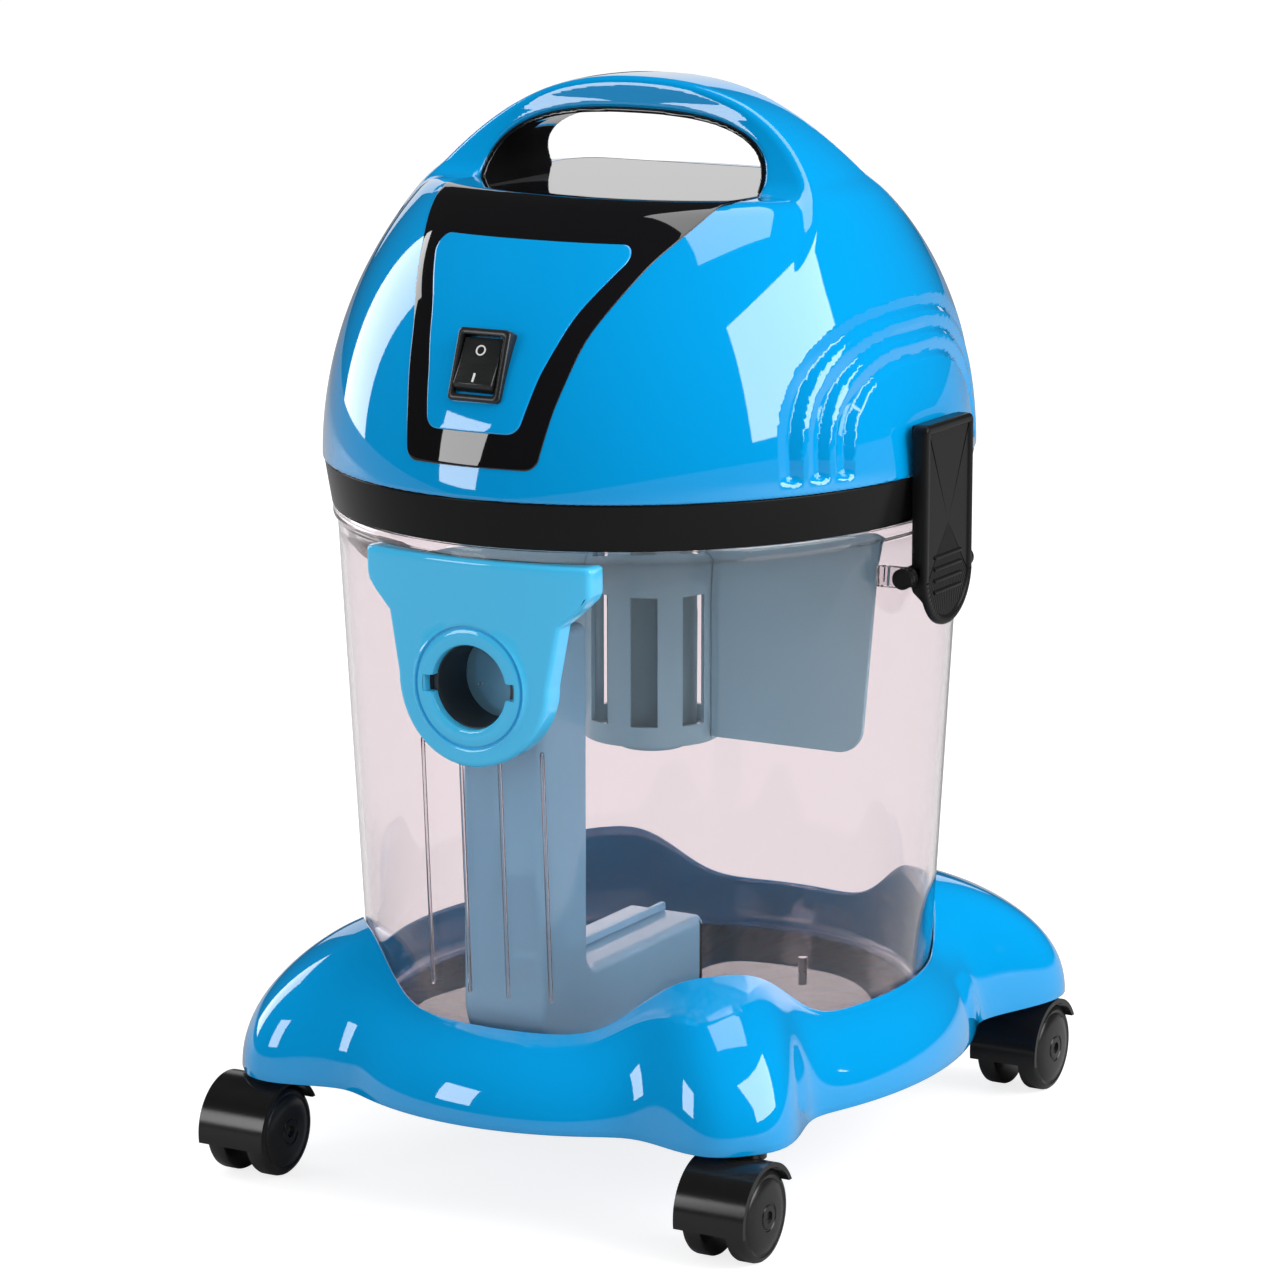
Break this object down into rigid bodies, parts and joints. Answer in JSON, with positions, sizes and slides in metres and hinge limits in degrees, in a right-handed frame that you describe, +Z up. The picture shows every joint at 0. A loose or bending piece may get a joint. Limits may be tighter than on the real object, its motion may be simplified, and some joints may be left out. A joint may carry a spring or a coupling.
{
  "type": "shop vacuum",
  "caption": "Wet and dry shop vacuum: clear oval tank on a lobed castor base, under a domed motor head with a carry handle that lifts off after its side latches open.",
  "frame": {"origin": "on the floor, at the middle of the tank", "axes": "+Z up, -Y the front with the switch and the inlet, +X the right-hand latch"},
  "size_m": [0.292, 0.331, 0.476],
  "materials": {
    "blue_gloss": "high gloss moulded",
    "cover_blue": "high gloss moulded",
    "clear_tank": "clear moulded plastic",
    "trim_black": "piano gloss",
    "satin_black": "satin moulded",
    "switch_black": "satin moulded",
    "mark_white": "printed",
    "seal_rubber": "soft",
    "sleeve_grey": "satin moulded",
    "duct_blue": "translucent moulded",
    "separator_teal": "translucent moulded",
    "filter_foam": "open cell foam",
    "float_white": "moulded",
    "steel": "zinc plated",
    "motor_cover_grey": "moulded",
    "motor_steel": "rolled sheet",
    "fan_aluminium": "pressed",
    "winding_copper": "enamelled copper winding",
    "castor_black": "satin moulded",
    "castor_wheel": "satin moulded nylon"
  },
  "bodies": {
    "root": {"base_shell": "blue_gloss", "castor_sockets": "steel", "base_screws": "steel", "tank": "clear_tank", "inlet_cover": "cover_blue", "inlet_sleeve": "sleeve_grey", "inlet_seal": "seal_rubber", "downpipe": "duct_blue", "latch_pin_right": "satin_black", "latch_pin_left": "satin_black"},
    "head": {"head_shell": "blue_gloss", "trim_frame": "trim_black", "switch_panel": "blue_gloss", "handle_liner": "trim_black", "cord_gland": "satin_black", "motor_plate": "satin_black", "head_seal": "seal_rubber", "head_screws": "steel", "switch_housing": "switch_black", "motor_bottom_mount": "seal_rubber", "fan_housing": "motor_cover_grey", "motor_can": "motor_steel", "motor_stator": "motor_steel", "motor_bearings": "steel", "motor_top_mount": "seal_rubber", "motor_cover": "motor_cover_grey", "filter_cage": "separator_teal", "foam_filter": "filter_foam", "float_cage": "separator_teal", "splash_plate_right": "separator_teal", "splash_plate_left": "separator_teal"},
    "latch_right": {"latch_right": "satin_black"},
    "latch_left": {"latch_left": "satin_black"},
    "switch": {"switch_rocker": "switch_black", "switch_marks": "mark_white"},
    "rotor": {"motor_shaft": "steel", "armature": "winding_copper", "impeller": "fan_aluminium"},
    "float": {"float": "float_white"},
    "castor_front_right": {"castor_fork_front_right": "castor_black", "castor_stem_front_right": "steel"},
    "wheels_front_right": {"castor_axle_front_right": "steel", "castor_wheels_front_right": "castor_wheel"},
    "castor_front_left": {"castor_fork_front_left": "castor_black", "castor_stem_front_left": "steel"},
    "wheels_front_left": {"castor_axle_front_left": "steel", "castor_wheels_front_left": "castor_wheel"},
    "castor_rear_right": {"castor_fork_rear_right": "castor_black", "castor_stem_rear_right": "steel"},
    "wheels_rear_right": {"castor_axle_rear_right": "steel", "castor_wheels_rear_right": "castor_wheel"},
    "castor_rear_left": {"castor_fork_rear_left": "castor_black", "castor_stem_rear_left": "steel"},
    "wheels_rear_left": {"castor_axle_rear_left": "steel", "castor_wheels_rear_left": "castor_wheel"}
  },
  "joints": [
    {"name": "head_lift", "type": "slide", "parent": "root", "child": "head", "axis": [0, 0, 1], "range_m": [0, 0.15]},
    {"name": "latch_right_open", "type": "hinge", "parent": "root", "child": "latch_right", "pos_m": [0.1385, 0, 0.271], "axis": [0, 1, 0], "range_deg": [0, 25]},
    {"name": "latch_left_open", "type": "hinge", "parent": "root", "child": "latch_left", "pos_m": [-0.1385, 0, 0.271], "axis": [0, -1, 0], "range_deg": [0, 25]},
    {"name": "switch_rock", "type": "hinge", "parent": "head", "child": "switch", "pos_m": [0, -0.14078, 0.36597], "axis": [1, 0, 0], "range_deg": [0, 20]},
    {"name": "motor_spin", "type": "hinge", "parent": "head", "child": "rotor", "pos_m": [0, 0, 0.35], "axis": [0, 0, 1], "continuous": true},
    {"name": "float_rise", "type": "slide", "parent": "head", "child": "float", "axis": [0, 0, 1], "range_m": [0, 0.014]},
    {"name": "swivel_front_right", "type": "hinge", "parent": "root", "child": "castor_front_right", "pos_m": [0.1188, -0.131, 0.045], "axis": [0, 0, 1], "continuous": true},
    {"name": "roll_front_right", "type": "hinge", "parent": "castor_front_right", "child": "wheels_front_right", "pos_m": [0.1188, -0.1407, 0.02], "axis": [1, 0, 0], "continuous": true},
    {"name": "swivel_front_left", "type": "hinge", "parent": "root", "child": "castor_front_left", "pos_m": [-0.1188, -0.131, 0.045], "axis": [0, 0, 1], "continuous": true},
    {"name": "roll_front_left", "type": "hinge", "parent": "castor_front_left", "child": "wheels_front_left", "pos_m": [-0.1188, -0.1407, 0.02], "axis": [1, 0, 0], "continuous": true},
    {"name": "swivel_rear_right", "type": "hinge", "parent": "root", "child": "castor_rear_right", "pos_m": [0.1188, 0.151, 0.045], "axis": [0, 0, 1], "continuous": true},
    {"name": "roll_rear_right", "type": "hinge", "parent": "castor_rear_right", "child": "wheels_rear_right", "pos_m": [0.1188, 0.1413, 0.02], "axis": [1, 0, 0], "continuous": true},
    {"name": "swivel_rear_left", "type": "hinge", "parent": "root", "child": "castor_rear_left", "pos_m": [-0.1188, 0.151, 0.045], "axis": [0, 0, 1], "continuous": true},
    {"name": "roll_rear_left", "type": "hinge", "parent": "castor_rear_left", "child": "wheels_rear_left", "pos_m": [-0.1188, 0.1413, 0.02], "axis": [1, 0, 0], "continuous": true}
  ],
  "couplings": [
    {"joint": "latch_right_open", "follows": "head_lift", "rad_per_m": 2.8973},
    {"joint": "latch_left_open", "follows": "head_lift", "rad_per_m": 2.8973}
  ]
}
